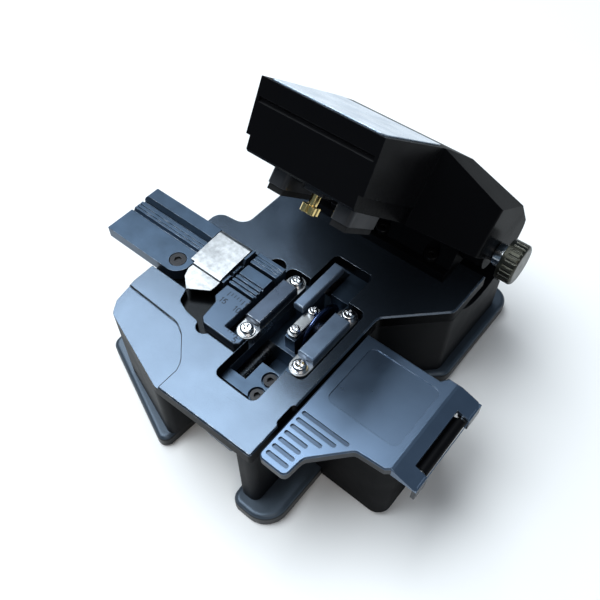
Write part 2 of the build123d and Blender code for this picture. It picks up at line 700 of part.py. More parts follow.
# flat sheet from the curl to the fold, then a lip that hangs over the holder's front edge
curl_top = leaf_pin_z + curl_radius
fold_outside = [(leaf_pin_y, curl_top), (33.0, 35.15), (32.0, 34.85), (31.7, 34.3), (24.9, 33.7)]
fold_inside = [(24.9, 33.3), (31.9, 33.85), (32.2, 34.45), (33.1, 34.7), (leaf_pin_y, curl_top - leaf_thick)]
with BuildPart() as holder_leaf:
    with BuildSketch(side(leaf_left_x)) as leaf_profile:
        disc(leaf_pin_y, leaf_pin_z, curl_radius)
        shape(fold_outside + fold_inside)
        disc(leaf_pin_y, leaf_pin_z, leaf_pin_radius + running, mode=Mode.SUBTRACT)
    extrude(amount=leaf_right_x - leaf_left_x)
    # rounded tongue in front of the fold
    with BuildSketch(level(28)) as leaf_trim:
        slab(-52, -38, 20, 32.6)
        shape([(-49.3, 32.6), (-49.5, 30.1), (-48.6, 27.8), (-45.3, 25.0), (-39.6, 28.4), (-39.3, 30.3),
               (-39.3, 32.6)], mode=Mode.SUBTRACT)
    extrude(amount=12, mode=Mode.SUBTRACT)
save(holder_leaf, "holder_leaf")

# ------------------------------------------------------------ lid shell
def lid_outline():
    """Plan of the closed lid: narrow in front, flared to the two cheeks."""
    flare_end = 49 + cheek_x - lid_right_x
    shape([(lid_right_x, 14), (lid_right_x, 49), (cheek_x, flare_end), (cheek_x, 99), (left_cheek_x, 99),
           (left_cheek_x, flare_end), (lid_left_x, 49), (lid_left_x, 14)])


def cheek_bevel(depth):
    """Region above the sloping bevel of both cheeks, sunk by a depth."""
    a = radians(-lid_open)
    across, along, rise = 0.520, -0.122, 0.846
    y0, z0 = swung(64 - depth * along, 52.3 - depth * rise)
    facing = (across, along * cos(a) - rise * sin(a), along * sin(a) + rise * cos(a))
    with BuildPart() as bevel:
        with BuildSketch(lid_level(36)) as bevel_reach:
            slab(-60, 30, 49, 110)
        extrude(amount=40)
        slope = Plane(origin=(corner_x + cheek_x - depth * across, y0, z0), z_dir=facing)
        split(bisect_by=slope, keep=Keep.TOP)
        mirror(bevel.part, about=Plane(origin=(corner_x + lid_middle_x, 0, 0), z_dir=(1, 0, 0)))
    return bevel.part


front_posts = [(-26, 27), (-5.5, 27)]
rear_posts = [(-26, 57), (-5.5, 57)]
post_places = front_posts + rear_posts
plate_top = 46.5
with BuildPart() as lid_void:
    with BuildSketch(lid_level(36)) as void_plan:
        lid_outline()
        offset(amount=-lid_skin, kind=Kind.INTERSECTION, mode=Mode.REPLACE)
    extrude(amount=28)
    with BuildSketch(lid_side(-60)) as void_profile:
        with BuildLine() as void_line:
            Polyline((95.6, 41), (95.2, 36), (23.4, 36), (22.6, 41), (19.3, 54.6), (51.0, 57.4),
                     (62, 57.4), (93.4, 49.1))
            ThreePointArc((93.4, 49.1), (95.3, 47.4), (96.0, 45.0))
            Line((96.0, 45.0), (95.6, 41))
        make_face()
    extrude(amount=90, mode=Mode.INTERSECT)
    add(cheek_bevel(lid_skin), mode=Mode.SUBTRACT)

with BuildPart() as lid_shell:
    with BuildSketch(lid_level(36)) as lid_plan:
        lid_outline()
        round_corner(lid_plan, lid_right_x, 14, 1)
        round_corner(lid_plan, cheek_x, 63.5, 1.5)
        round_corner(lid_plan, left_cheek_x, 63.5, 1.5)
    extrude(amount=28)
    with BuildSketch(lid_side(-60)) as lid_profile:
        with BuildLine() as lid_line:
            Polyline((97.6, 41), (97.0, 39), (64, 39.4), (21.4, lid_bottom), (20.6, 41.5),
                     (16.9, 56.4), (51.2, 59.4), (63.6, 59.8), (94.8, 51.5))
            ThreePointArc((94.8, 51.5), (97.1, 49.0), (98.1, 45.0))
            Line((98.1, 45.0), (97.6, 41))
        make_face()
    extrude(amount=90, mode=Mode.INTERSECT)
    add(lid_void.part, mode=Mode.SUBTRACT)
    add(cheek_bevel(0), mode=Mode.SUBTRACT)
    # rebate along the lower edge of both narrow sides
    with BuildSketch(lid_front(49)) as rebates:
        slab(lid_left_x - 1, lid_left_x + 1.1, 36, 44.4)
        slab(lid_right_x - 1.1, lid_right_x + 1, 36, 44.4)
    extrude(amount=40, mode=Mode.SUBTRACT)
    # groove across the front face
    with BuildSketch(lid_side(lid_left_x + 0.8)) as front_line:
        shape([(18.13, 51.4), (18.7, 52.2), (17.84, 52.6), (17.0, 52.0)])
    extrude(amount=lid_right_x - lid_left_x - 1.6, mode=Mode.SUBTRACT)
    # seat of the top plate
    with BuildSketch(lid_level(56.4, 16.9, plate_slope)) as plate_seat:
        slab(-29.8, -1.7, 1.3, 33.2)
        fillet(plate_seat.vertices(), 1.0)
    extrude(amount=-0.5, mode=Mode.SUBTRACT)
    # hinge bosses inside the cheeks, and posts for the inner plate
    with BuildSketch(lid_side(7)) as right_boss:
        disc(hinge_y, hinge_z, 5.4)
    extrude(amount=cheek_x - 1 - 7)
    with BuildSketch(lid_side(left_cheek_x + 1)) as left_boss:
        disc(hinge_y, hinge_z, 5.4)
    extrude(amount=cheek_x - 1 - 7)
    for places, post_top in ((front_posts, 56.6), (rear_posts, 58.4)):
        with BuildSketch(lid_level(plate_top)) as post_ends:
            for x, y in places:
                disc(x, y, 2.0)
        extrude(amount=post_top - plate_top)
    with BuildSketch(lid_side(left_cheek_x + 0.5)) as lid_bore:
        disc(hinge_y, hinge_z, pin_radius + running)
    extrude(amount=80, mode=Mode.SUBTRACT)
    with BuildSketch(lid_level(plate_top)) as post_holes:
        for x, y in post_places:
            disc(x, y, 1.0)
    extrude(amount=5, mode=Mode.SUBTRACT)
save(lid_shell, "lid_shell")

with BuildPart() as lid_top_plate:
    with BuildSketch(lid_level(56.4, 16.9, plate_slope)) as top_plate_plan:
        slab(-29.7, -1.8, 1.4, 33.1)
        fillet(top_plate_plan.vertices(), 0.95)
    extrude(amount=-0.5)
    extrude(top_plate_plan.sketch, amount=0.3)
save(lid_top_plate, "lid_top_plate")

# ------------------------------------------------------------ under the lid: inner plate, upper clamps, anvil
plate_bottom = 44.5
upper_clamps = [("left", left_pad_x), ("right", right_pad_x)]
stem_reach = 4.0
anvil_x = -17.7
anvil_bottom = 33.5
anvil_head = 1.9
pad_gap = 0.3
body_bottom = pad_top + pad_gap + 1.5
body_top = body_bottom + 4.2

with BuildPart() as lid_inner_plate:
    with BuildSketch(lid_level(plate_bottom)) as inner_plan:
        slab(-28.2, -3.3, 25.0, 60)
        fillet(inner_plan.vertices(), 1)
    extrude(amount=plate_top - plate_bottom)
    with BuildSketch(lid_level(plate_bottom)) as inner_holes:
        for label, middle in upper_clamps:
            disc(middle, fibre_y - stem_reach, 1.0 + running)
            disc(middle, fibre_y + stem_reach, 1.0 + running)
        for x, y in post_places:
            disc(x, y, 1.1)
        disc(anvil_x, fibre_y, 1.2 + running)
    extrude(amount=4, mode=Mode.SUBTRACT)
save(lid_inner_plate, "lid_inner_plate")

with BuildPart() as inner_plate_screws:
    with BuildSketch(lid_level(plate_bottom - 1.1)) as inner_heads:
        for x, y in post_places:
            disc(x, y, 1.9)
            with Locations((x, y)):
                RegularPolygon(0.9, 6, mode=Mode.SUBTRACT)
    extrude(amount=1.1)
    with BuildSketch(lid_level(plate_bottom)) as inner_shanks:
        for x, y in post_places:
            disc(x, y, 1.0)
    extrude(amount=6)
save(inner_plate_screws, "inner_plate_screws")

for label, middle in upper_clamps:
    with BuildPart() as upper_clamp:
        with BuildSketch(lid_level(body_bottom)) as clamp_plan:
            with Locations((middle, fibre_y)):
                Rectangle(pad_width, pad_length)
            fillet(clamp_plan.vertices(), 1.2)
        extrude(amount=body_top - body_bottom)
        chamfer(upper_clamp.faces().sort_by(Axis((0, 0, 0), lid_level(0).z_dir))[-1].edges(), 0.6)
        with BuildSketch(lid_level(body_top - 0.2)) as stem_plan:
            disc(middle, fibre_y - stem_reach, 1.0)
            disc(middle, fibre_y + stem_reach, 1.0)
        extrude(amount=8.6)
    save(upper_clamp, f"{label}_upper_clamp")

    with BuildPart() as upper_pad:
        with BuildSketch(lid_level(pad_top + pad_gap)) as upper_pad_plan:
            with Locations((middle, fibre_y)):
                Rectangle(pad_width - 0.8, pad_length - 1.6)
        extrude(amount=body_bottom - pad_top - pad_gap)
    save(upper_pad, f"{label}_upper_pad")

    with BuildPart() as clamp_springs:
        with BuildSketch(lid_level(42.4)) as spring_rings:
            for reach in (-stem_reach, stem_reach):
                disc(middle, fibre_y + reach, 1.75)
                disc(middle, fibre_y + reach, 1.25, mode=Mode.SUBTRACT)
        extrude(amount=plate_bottom - 42.4)
    save(clamp_springs, f"{label}_clamp_springs")

with BuildPart() as anvil:
    with BuildSketch(lid_level(anvil_bottom)) as anvil_lobes:
        with Locations((anvil_x, fibre_y)):
            Circle(1.2)
            with PolarLocations(1.3, 4, start_angle=45):
                Circle(1.05)
    extrude(amount=anvil_head)
    with BuildSketch(lid_level(anvil_bottom + anvil_head)) as anvil_stem:
        disc(anvil_x, fibre_y, 1.2)
    extrude(amount=12.8)
save(anvil, "anvil")

with BuildPart() as anvil_guide:
    with BuildSketch(lid_level(38.4)) as anvil_guide_plan:
        slab(anvil_x - 3, anvil_x + 3, fibre_y - 3, fibre_y + 3)
        fillet(anvil_guide_plan.vertices(), 0.8)
        disc(anvil_x, fibre_y, 1.2 + running, mode=Mode.SUBTRACT)
    extrude(amount=plate_bottom - 38.4)
save(anvil_guide, "anvil_guide")

# ------------------------------------------------------------ scrap box
with BuildPart() as bin_body:
    with BuildSketch(level(bin_floor)) as bin_plan:
        slab(7.2, 27, 18, 46)
        round_corner(bin_plan, 27, 18, 4)
    extrude(amount=bin_top - bin_floor)
    with BuildSketch(front(46)) as boss_profile:
        slab(2.2, 7.3, 6, 20)
        slab(0.6, 7.3, 22, bin_top)
        shape([(2.2, 20), (7.3, 20), (7.3, 22), (0.6, 22)])
        slab(3.3, 6.0, 8.7, 17.3, mode=Mode.SUBTRACT)
        slab(2.0, 3.4, 11.5, 14.5, mode=Mode.SUBTRACT)
    extrude(amount=28)
    # the well
    with BuildSketch(level(bin_floor + bin_skin)) as well_plan:
        slab(7.2 + bin_skin, 27 - bin_skin, 18 + bin_skin, 46 - bin_skin)
        round_corner(well_plan, 27 - bin_skin, 18 + bin_skin, 2.6)
    extrude(amount=bin_top, mode=Mode.SUBTRACT)
    # the mouth, open towards the deck
    with BuildSketch(level(23.6)) as mouth_plan:
        slab(0, 10, 18 + bin_skin, 46 - bin_skin)
    extrude(amount=10, mode=Mode.SUBTRACT)
    # ear for the cover's pin
    with BuildSketch(front(40)) as ear_profile:
        slab(26.6, cover_pin_x, cover_pin_z - 1.2, cover_pin_z + 0.5)
        shape([(26.6, cover_pin_z - 1.1), (28.6, cover_pin_z - 1.1), (26.6, cover_pin_z - 3.6)])
        disc(cover_pin_x, cover_pin_z, 1.35)
        disc(cover_pin_x, cover_pin_z, cover_pin_radius, mode=Mode.SUBTRACT)
    extrude(amount=16.6)
save(bin_body, "bin_body")

groove_ends = [8.4, 8.4, 8.4, 8.7, 11.2, 13.6, 15.8]
with BuildPart() as bin_cover:
    with BuildSketch(level(30.4)) as cover_outline:
        shape([(1.0, 1.4), (9.2, 1.4), (9.7, 7.4), (17.8, 16.4), (25.4, 17.0), (26.4, 17.8), (33.6, 17.8),
               (33.6, 44.8), (32.6, 46.4), (24, 46.4), (22.6, 44.4), (1.0, 44.4)])
        round_corner(cover_outline, 1.0, 1.4, 1.6)
        round_corner(cover_outline, 9.2, 1.4, 1.6)
        round_corner(cover_outline, 9.7, 7.4, 3)
        round_corner(cover_outline, 17.8, 16.4, 2)
        round_corner(cover_outline, 33.6, 17.8, 1)
    extrude(amount=deck_top - 30.4)
    with BuildSketch(front(46.4)) as skirt_profile:
        slab(32.5, 33.6, 26.4, 30.6)
    extrude(amount=46.4 - 17.9)
    # facet that falls away to the right
    with BuildSketch(front(50)) as facet_cut:
        shape([(26.7, deck_top), (34.2, deck_top - 2.6), (34.2, deck_top + 2), (26.7, deck_top + 2)])
    extrude(amount=36, mode=Mode.SUBTRACT)
    chamfer(bin_cover.faces().sort_by(Axis.Z)[-1].outer_wire().edges().filter_by(Axis.Z, reverse=True), 0.35)
    # slot that the box's ear stands in
    with BuildSketch(level(29)) as ear_slot:
        slab(30.0, 33.4, 22.6, 40.8)
    extrude(amount=6, mode=Mode.SUBTRACT)
    with BuildSketch(level(26)) as skirt_gap:
        slab(31, 34, 22.6, 40.8)
    extrude(amount=4.4, mode=Mode.SUBTRACT)
    # lugs around the pin at both ends of the slot
    with BuildSketch(front(44.4)) as rear_lug:
        disc(cover_pin_x, cover_pin_z, 1.5)
        slab(cover_pin_x - 1.5, cover_pin_x + 1.5, cover_pin_z, 30.8)
    extrude(amount=3.2)
    with BuildSketch(front(22.2)) as front_lug:
        disc(cover_pin_x, cover_pin_z, 1.5)
        slab(cover_pin_x - 1.5, cover_pin_x + 1.5, cover_pin_z, 30.8)
    extrude(amount=3.2)
    with BuildSketch(front(44.4)) as cover_bore:
        disc(cover_pin_x, cover_pin_z, cover_pin_radius + running)
    extrude(amount=25.4, mode=Mode.SUBTRACT)
    # label recess and thumb grooves
    with BuildSketch(level(deck_top - 0.3)) as label_recess:
        slab(4.0, 24.5, 22.7, 42)
        fillet(label_recess.vertices(), 2)
    extrude(amount=1, mode=Mode.SUBTRACT)
    with BuildSketch(level(deck_top - 0.5)) as thumb_grooves:
        for i, end in enumerate(groove_ends):
            with Locations(((2.0 + end) / 2, 3.6 + i * 2.15)):
                SlotOverall(end - 2.0, 1.15)
    extrude(amount=1, mode=Mode.SUBTRACT)
save(bin_cover, "bin_cover")

with BuildPart() as cover_pin:
    with BuildSketch(front(44.2)) as cover_pin_end:
        disc(cover_pin_x, cover_pin_z, cover_pin_radius)
    extrude(amount=25.0)
save(cover_pin, "cover_pin")
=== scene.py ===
"""Looks for the fibre cleaver: materials, small print and springs, light, floor and camera."""

import math

import bmesh
import bpy
from mathutils import Matrix, Vector


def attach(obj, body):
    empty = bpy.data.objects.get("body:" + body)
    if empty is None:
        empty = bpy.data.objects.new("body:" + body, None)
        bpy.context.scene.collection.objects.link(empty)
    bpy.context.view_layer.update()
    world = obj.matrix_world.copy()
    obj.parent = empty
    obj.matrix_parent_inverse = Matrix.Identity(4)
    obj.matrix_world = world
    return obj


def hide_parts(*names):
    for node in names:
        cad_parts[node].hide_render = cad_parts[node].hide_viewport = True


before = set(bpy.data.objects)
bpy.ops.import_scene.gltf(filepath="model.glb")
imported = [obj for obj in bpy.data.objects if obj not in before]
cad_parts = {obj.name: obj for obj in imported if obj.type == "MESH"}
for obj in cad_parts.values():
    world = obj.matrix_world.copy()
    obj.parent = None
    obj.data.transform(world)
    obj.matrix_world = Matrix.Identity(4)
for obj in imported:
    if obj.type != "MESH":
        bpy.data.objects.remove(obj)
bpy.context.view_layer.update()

MM = 0.001

# Places are in millimetres from the deck's front right corner, as x, y and the height above the table.
CORNER = Vector((22.2, -50.0, 0.0))     # that corner in the frame
DECK = 33.0                             # top of the deck
POCKETS_BELOW = 32.0                    # everything in the deck that is lower than this is a pocket, coloured with painted shade
GROOVES_BELOW = 32.75                   # the scrap box cover's grooves lie under this height and get painted shade
FACET_X = 26.7                          # right of this the cover's top slopes down
FACET_DROP = 2.4                        # by about this much at its right edge
GUIDE_TOP = 33.5                        # top of the guide plate that carries the scale
FIBRE_Y = 36.0                          # line of the fibre
HINGE_Y = 82.0                          # axis of the lid's hinge
HINGE_Z = 41.0
LID_OPEN = math.radians(42)


def spot(x, y, z):
    """A place measured from the deck's corner, in millimetres, as a point of the frame."""
    return (CORNER + Vector((x, y, z))) * MM


# ---------------------------------------------------------------- node materials
class Look:
    """A node material that is put together step by step."""

    BLACK = (0.003, 0.003, 0.0035, 1.0)
    NOISE_LOW, NOISE_HIGH = 0.3, 0.7    # most of a noise lies between these
    NOISE_ROUGHNESS = 0.55
    GRAIN_DETAIL = 2.0
    BEVEL_SAMPLES = 4
    FLAT, WORN = 0.995, 0.9     # agreement of the rounded and the plain normal on a flat face and on an edge
    PATCH_MM = 2.2              # size of the patches that break up the edge wear and painted edge highlight
    PATCH_LOW, PATCH_HIGH = 0.4, 0.65
    UPRIGHT, LEVEL = 0.3, 0.6   # upward share of the normal on a wall and on a face that looks up
    BLEND_MM = 0.4              # height over which the painted shade in pockets and grooves fades out

    def __init__(self, name, metallic=0.0, specular=0.5, coat=0.0, coat_roughness=0.1, anisotropic=0.0,
                 reflection_tint=(1.0, 1.0, 1.0)):
        self.name = name
        self.material = bpy.data.materials.new("look_" + name)
        self.material.use_nodes = True
        self.tree = self.material.node_tree
        self.tree.nodes.clear()
        self.output = self.add("ShaderNodeOutputMaterial")
        self.shader = self.add("ShaderNodeBsdfPrincipled")
        self.shader.inputs["Metallic"].default_value = metallic
        self.shader.inputs["Specular IOR Level"].default_value = specular
        self.shader.inputs["Coat Weight"].default_value = coat
        self.shader.inputs["Coat Roughness"].default_value = coat_roughness
        self.shader.inputs["Anisotropic"].default_value = anisotropic
        self.shader.inputs["Specular Tint"].default_value = (*reflection_tint, 1.0)
        self.link(self.shader.outputs["BSDF"], self.output.inputs["Surface"])
        self.coords = self.add("ShaderNodeTexCoord").outputs["Object"]

    def add(self, kind, **values):
        made = self.tree.nodes.new(kind)
        for key, value in values.items():
            setattr(made, key, value)
        return made

    def link(self, a, b):
        self.tree.links.new(a, b)

    def noise(self, size_mm, detail, stretch=(1, 1, 1)):
        """Noise whose features are about size_mm wide, drawn out along an axis by a stretch below 1."""
        mapping = self.add("ShaderNodeMapping")
        mapping.inputs["Scale"].default_value = stretch
        self.link(self.coords, mapping.inputs["Vector"])
        made = self.add("ShaderNodeTexNoise")
        made.inputs["Scale"].default_value = 1000.0 / size_mm
        made.inputs["Detail"].default_value = detail
        made.inputs["Roughness"].default_value = self.NOISE_ROUGHNESS
        self.link(mapping.outputs["Vector"], made.inputs["Vector"])
        return made.outputs["Fac"]

    def span(self, value, low, high, new_low, new_high):
        made = self.add("ShaderNodeMapRange")
        made.inputs["From Min"].default_value = low
        made.inputs["From Max"].default_value = high
        made.inputs["To Min"].default_value = new_low
        made.inputs["To Max"].default_value = new_high
        self.link(value, made.inputs["Value"])
        return made.outputs["Result"]

    def math(self, operation, a, b):
        made = self.add("ShaderNodeMath", operation=operation)
        for socket, value in zip(made.inputs, (a, b)):
            if isinstance(value, (int, float)):
                socket.default_value = value
            else:
                self.link(value, socket)
        return made.outputs["Value"]

    def mix(self, factor, a, b):
        made = self.add("ShaderNodeMix", data_type="RGBA")
        self.link(factor, made.inputs["Factor"])
        for socket, value in ((made.inputs[6], a), (made.inputs[7], b)):
            if isinstance(value, (tuple, list)):
                socket.default_value = (*value, 1.0)
            else:
                self.link(value, socket)
        return made.outputs[2]

    def edges(self, radius_mm):
        """How near a point is to a sharp outer or inner edge, broken up by noise: where the edge colour
        goes, as wear and as a painted highlight.
        """
        bevel = self.add("ShaderNodeBevel", samples=self.BEVEL_SAMPLES)
        bevel.inputs["Radius"].default_value = radius_mm * MM
        flat = self.add("ShaderNodeNewGeometry").outputs["Normal"]
        dot = self.add("ShaderNodeVectorMath", operation="DOT_PRODUCT")
        self.link(bevel.outputs["Normal"], dot.inputs[0])
        self.link(flat, dot.inputs[1])
        near = self.span(dot.outputs["Value"], self.FLAT, self.WORN, 0.0, 1.0)
        broken = self.span(self.noise(self.PATCH_MM, detail=4), self.PATCH_LOW, self.PATCH_HIGH, 0.0, 1.0)
        return self.math("MULTIPLY", near, broken)

    def dull(self, amount, walls_only=False):
        """Take a share of the sheen away by mixing in plain black, all over or on upright walls; on upright
        walls this is painted shade.
        """
        black = self.add("ShaderNodeBsdfDiffuse")
        black.inputs["Color"].default_value = self.BLACK
        both = self.add("ShaderNodeMixShader")
        both.inputs["Fac"].default_value = amount
        if walls_only:
            self.link(self.math("MULTIPLY", self.walls(), amount), both.inputs["Fac"])
        self.link(self.shader.outputs["BSDF"], both.inputs[1])
        self.link(black.outputs["BSDF"], both.inputs[2])
        self.link(both.outputs["Shader"], self.output.inputs["Surface"])
        return self

    def below(self, height_mm, slope_x=None):
        """1 under a height above the table, 0 over it. Right of slope_x the facet's drop is allowed for."""
        parts = self.add("ShaderNodeSeparateXYZ")
        self.link(self.coords, parts.inputs["Vector"])
        height = parts.outputs["Z"]
        if slope_x is not None:
            beyond = self.math("GREATER_THAN", parts.outputs["X"], (CORNER.x + slope_x) * MM)
            height = self.math("ADD", height, self.math("MULTIPLY", beyond, FACET_DROP * MM))
        return self.span(height, (height_mm - self.BLEND_MM) * MM, height_mm * MM, 1.0, 0.0)

    def walls(self):
        """1 on upright walls, 0 on anything that faces up."""
        parts = self.add("ShaderNodeSeparateXYZ")
        self.link(self.add("ShaderNodeNewGeometry").outputs["True Normal"], parts.inputs["Vector"])
        return self.span(parts.outputs["Z"], self.UPRIGHT, self.LEVEL, 1.0, 0.0)

    def colour(self, base, spread, size_mm, edge=None, edge_amount=0.5, edge_mm=0.25,
               painted_shade_below_mm=0.0, slope_x=None, painted_wall_shade=False, painted_shade_colour=(0.004, 0.005, 0.006)):
        """Base colour that drifts lighter and darker, with edges that show wear and a painted highlight, and
        painted shade below a height and on upright walls.
        """
        light = tuple(min(1.0, c * (1 + spread)) for c in base)
        dark = tuple(c * (1 - spread) for c in base)
        drift = self.span(self.noise(size_mm, detail=5), self.NOISE_LOW, self.NOISE_HIGH, 0.0, 1.0)
        result = self.mix(drift, dark, light)
        # the edge colour is partly wear and partly a painted highlight along outer and inner edges
        if edge:
            edge_wear_and_highlight = self.math("MULTIPLY", self.edges(edge_mm), edge_amount)
            result = self.mix(edge_wear_and_highlight, result, edge)
        # painted shade: near-black below a height, in pockets and grooves, and on upright walls
        if painted_shade_below_mm:
            result = self.mix(self.below(painted_shade_below_mm, slope_x), result, painted_shade_colour)
        if painted_wall_shade:
            result = self.mix(self.walls(), result, painted_shade_colour)
        self.link(result, self.shader.inputs["Base Color"])
        return self

    def rough(self, low, high, size_mm, stretch=(1, 1, 1)):
        """Roughness that drifts between two values."""
        patches = self.noise(size_mm, detail=4, stretch=stretch)
        value = self.span(patches, self.NOISE_LOW, self.NOISE_HIGH, low, high)
        self.link(value, self.shader.inputs["Roughness"])
        return self

    def grain(self, size_mm, strength, depth_mm, round_mm, stretch=(1, 1, 1)):
        """Fine relief over edges that are rounded by round_mm."""
        bump = self.add("ShaderNodeBump")
        bump.inputs["Strength"].default_value = strength
        bump.inputs["Distance"].default_value = depth_mm * MM
        self.link(self.noise(size_mm, self.GRAIN_DETAIL, stretch), bump.inputs["Height"])
        if round_mm:
            bevel = self.add("ShaderNodeBevel", samples=self.BEVEL_SAMPLES)
            bevel.inputs["Radius"].default_value = round_mm * MM
            self.link(bevel.outputs["Normal"], bump.inputs["Normal"])
        self.link(bump.outputs["Normal"], self.shader.inputs["Normal"])
        return self


def make_looks():
    """All materials by name. A colour is its base, drift and the drift's size; roughness is a range."""
    looks = {}

    def keep(look):
        looks[look.name] = look.material

    # black anodised aluminium: the guide plate, the deck, the scrap box cover and the shoe
    keep(Look("anodised", metallic=0.85, specular=0.5)
         .colour((0.052, 0.076, 0.112), 0.06, 22, edge=(0.45, 0.5, 0.56), edge_amount=0.8, edge_mm=0.22)
         .rough(0.3, 0.36, 9).grain(0.12, 0.25, 0.01, round_mm=0.25))
    # painted shade: the deck's pockets below POCKETS_BELOW and its upright walls are near-black, and the
    # walls lose most of their sheen
    keep(Look("deck_anodised", metallic=0.85, specular=0.5)
         .colour((0.076, 0.101, 0.136), 0.07, 22, edge=(0.5, 0.53, 0.57), edge_amount=0.8, edge_mm=0.22,
                 painted_shade_below_mm=POCKETS_BELOW, painted_wall_shade=True)
         .rough(0.2, 0.26, 9).grain(0.32, 0.8, 0.03, round_mm=0.22).dull(0.7, walls_only=True))
    # painted shade: the cover's grooves are near-black
    keep(Look("cover_satin", metallic=0.8, specular=0.5)
         .colour((0.098, 0.142, 0.21), 0.08, 16, edge=(0.4, 0.45, 0.52), edge_amount=0.7, edge_mm=0.15,
                 painted_shade_below_mm=GROOVES_BELOW, slope_x=FACET_X, painted_shade_colour=(0.006, 0.009, 0.014))
         .rough(0.26, 0.34, 8).grain(0.3, 0.45, 0.02, round_mm=0.12))
    # painted shade: the shoe's upright walls are near-black
    keep(Look("shoe_anodised", metallic=0.6, specular=0.3)
         .colour((0.062, 0.08, 0.103), 0.15, 18, edge=(0.25, 0.27, 0.3), edge_amount=0.5, edge_mm=0.3,
                 painted_wall_shade=True)
         .rough(0.34, 0.42, 9).grain(0.15, 0.25, 0.01, round_mm=0.5))
    # black walls that hang in shade, made darker still as painted shade
    keep(Look("shadow_black", specular=0.12)
         .colour((0.004, 0.0042, 0.005), 0.2, 10, edge=(0.05, 0.052, 0.056), edge_amount=0.3, edge_mm=0.2)
         .rough(0.4, 0.5, 6).grain(0.3, 0.2, 0.01, round_mm=0.3).dull(0.6))
    keep(Look("anodised_side_shade", metallic=0.3, specular=0.2)
         .colour((0.007, 0.008, 0.01), 0.15, 18, edge=(0.12, 0.135, 0.15), edge_amount=0.4, edge_mm=0.3)
         .rough(0.4, 0.5, 9).grain(0.15, 0.25, 0.01, round_mm=0.35).dull(0.45))
    # the lid: plain glossy black, with a reflecting film on top
    keep(Look("lid_black", specular=0.1)
         .colour((0.0035, 0.0037, 0.0042), 0.2, 15, edge=(0.14, 0.15, 0.165), edge_amount=0.5, edge_mm=0.2)
         .rough(0.2, 0.3, 12).grain(0.4, 0.08, 0.01, round_mm=0.15).dull(0.76))
    keep(Look("top_film", metallic=0.9, specular=0.5, coat=0.4, coat_roughness=0.15)
         .colour((0.4, 0.5, 0.62), 0.1, 9, edge=(0.85, 0.87, 0.9), edge_amount=0.6, edge_mm=0.2)
         .rough(0.2, 0.34, 7).grain(1.6, 0.12, 0.02, round_mm=0.2))
    # plastic and rubber
    # the blue colour given to the moulded plastic's reflection is a painted blue reflection
    keep(Look("moulded_black", specular=0.9, reflection_tint=(0.45, 0.68, 1.0))
         .colour((0.003, 0.0045, 0.008), 0.12, 12, edge=(0.09, 0.1, 0.11), edge_amount=0.45, edge_mm=0.2)
         .rough(0.27, 0.35, 8).grain(0.24, 0.7, 0.02, round_mm=0.22))
    keep(Look("rubber", specular=0.2)
         .colour((0.012, 0.012, 0.013), 0.2, 5).rough(0.7, 0.85, 3).grain(0.2, 0.5, 0.02, round_mm=0.2))
    # ground tops of the clamp pads and the carriage bar
    keep(Look("pad_grey", metallic=0.85, specular=0.5)
         .colour((0.05, 0.066, 0.094), 0.14, 4, edge=(0.6, 0.63, 0.67), edge_amount=1.0, edge_mm=0.25)
         .rough(0.26, 0.36, 3).grain(0.1, 0.3, 0.01, round_mm=0.25))
    # a lighter copy of the pad look: painted light on the right pad and the carriage bar, which lie in the
    # lid's shadow
    keep(Look("pad_painted_lighter", metallic=0.6, specular=0.5)
         .colour((0.145, 0.2, 0.285), 0.14, 4, edge=(0.6, 0.65, 0.7), edge_amount=1.0, edge_mm=0.25)
         .rough(0.36, 0.46, 3).grain(0.1, 0.3, 0.01, round_mm=0.25))
    # machined metal: brackets, knob, the mechanism under the lid and the holder
    keep(Look("bare_metal", metallic=1.0)
         .colour((0.3, 0.31, 0.32), 0.14, 5, edge=(0.75, 0.76, 0.78), edge_amount=0.7, edge_mm=0.2)
         .rough(0.24, 0.38, 4).grain(0.12, 0.3, 0.01, stretch=(1, 0.1, 1), round_mm=0.3))
    keep(Look("knob_metal", metallic=0.9)
         .colour((0.047, 0.046, 0.036), 0.14, 3, edge=(0.5, 0.5, 0.45), edge_amount=0.7, edge_mm=0.2)
         .rough(0.3, 0.42, 2).grain(0.1, 0.3, 0.01, round_mm=0.2))
    keep(Look("lid_inside", metallic=0.5, specular=0.3)
         .colour((0.035, 0.036, 0.04), 0.15, 5, edge=(0.22, 0.23, 0.25), edge_amount=0.6, edge_mm=0.2)
         .rough(0.34, 0.46, 4).grain(0.12, 0.3, 0.01, stretch=(1, 0.1, 1), round_mm=0.25))
    keep(Look("dark_metal", metallic=0.85)
         .colour((0.045, 0.07, 0.106), 0.18, 6, edge=(0.42, 0.47, 0.54), edge_amount=0.8, edge_mm=0.2)
         .rough(0.3, 0.42, 4, stretch=(0.15, 1, 1))
         .grain(0.12, 0.35, 0.01, stretch=(0.06, 1, 1), round_mm=0.15))
